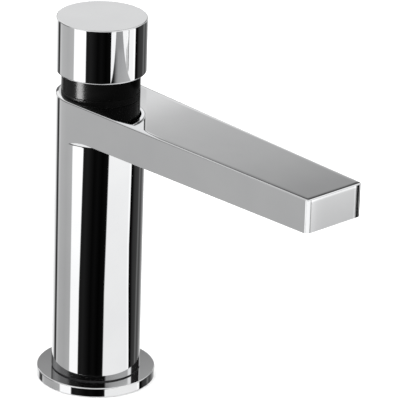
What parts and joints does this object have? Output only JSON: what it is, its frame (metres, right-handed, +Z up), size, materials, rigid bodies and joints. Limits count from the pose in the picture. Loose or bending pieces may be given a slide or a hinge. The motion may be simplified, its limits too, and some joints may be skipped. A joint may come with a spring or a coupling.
{
  "type": "push timed tap",
  "caption": "Basin tap with a round column on a disc flange, a long flat arm with an outlet under its tip, and a sprung push button that opens a timed cartridge.",
  "frame": {"origin": "on the column's axis, in the plane of the basin top that the base gasket stands on", "axes": "+Z up along the column's axis, +X from the column towards the tip of the arm"},
  "size_m": [0.1831, 0.0562, 0.1804],
  "materials": {
    "chrome": "polished chrome plate",
    "brass": "turned brass",
    "steel": "plain stainless steel",
    "rubber": "black rubber",
    "grey_plastic": "moulded grey plastic",
    "white_plastic": "moulded white plastic",
    "matt_black": "matt black plastic",
    "gloss_black": "glossy black plastic"
  },
  "bodies": {
    "tap": {"tap_body": "chrome", "base_flange": "chrome", "base_gasket": "rubber", "column_seal_ring": "rubber", "inlet_base": "brass", "inlet_seal": "rubber", "inlet_filter": "steel", "supply_tube": "steel", "cartridge_housing": "grey_plastic", "valve_seat": "brass", "timing_chamber": "grey_plastic", "timing_screw": "brass", "cartridge_o_ring_low": "rubber", "cartridge_o_ring_high": "rubber", "guide_bush": "white_plastic", "retaining_ring": "steel", "cartridge_nut": "brass", "neck_base_ring": "matt_black", "neck_sleeve": "gloss_black", "return_spring": "steel", "aerator_gasket": "rubber", "aerator_housing": "chrome", "aerator_insert": "white_plastic"},
    "plunger": {"push_button": "chrome", "button_insert": "white_plastic", "button_screw": "steel", "stem": "steel", "piston": "white_plastic", "piston_lip_seal": "rubber", "valve_disc": "rubber", "valve_disc_nut": "brass"}
  },
  "joints": [
    {"name": "button_press", "type": "slide", "parent": "tap", "child": "plunger", "axis": [0, 0, -1], "range_m": [0, 0.008], "stiffness_N_per_m": 900, "springref_m": -0.008, "deforming": ["return_spring"]}
  ]
}
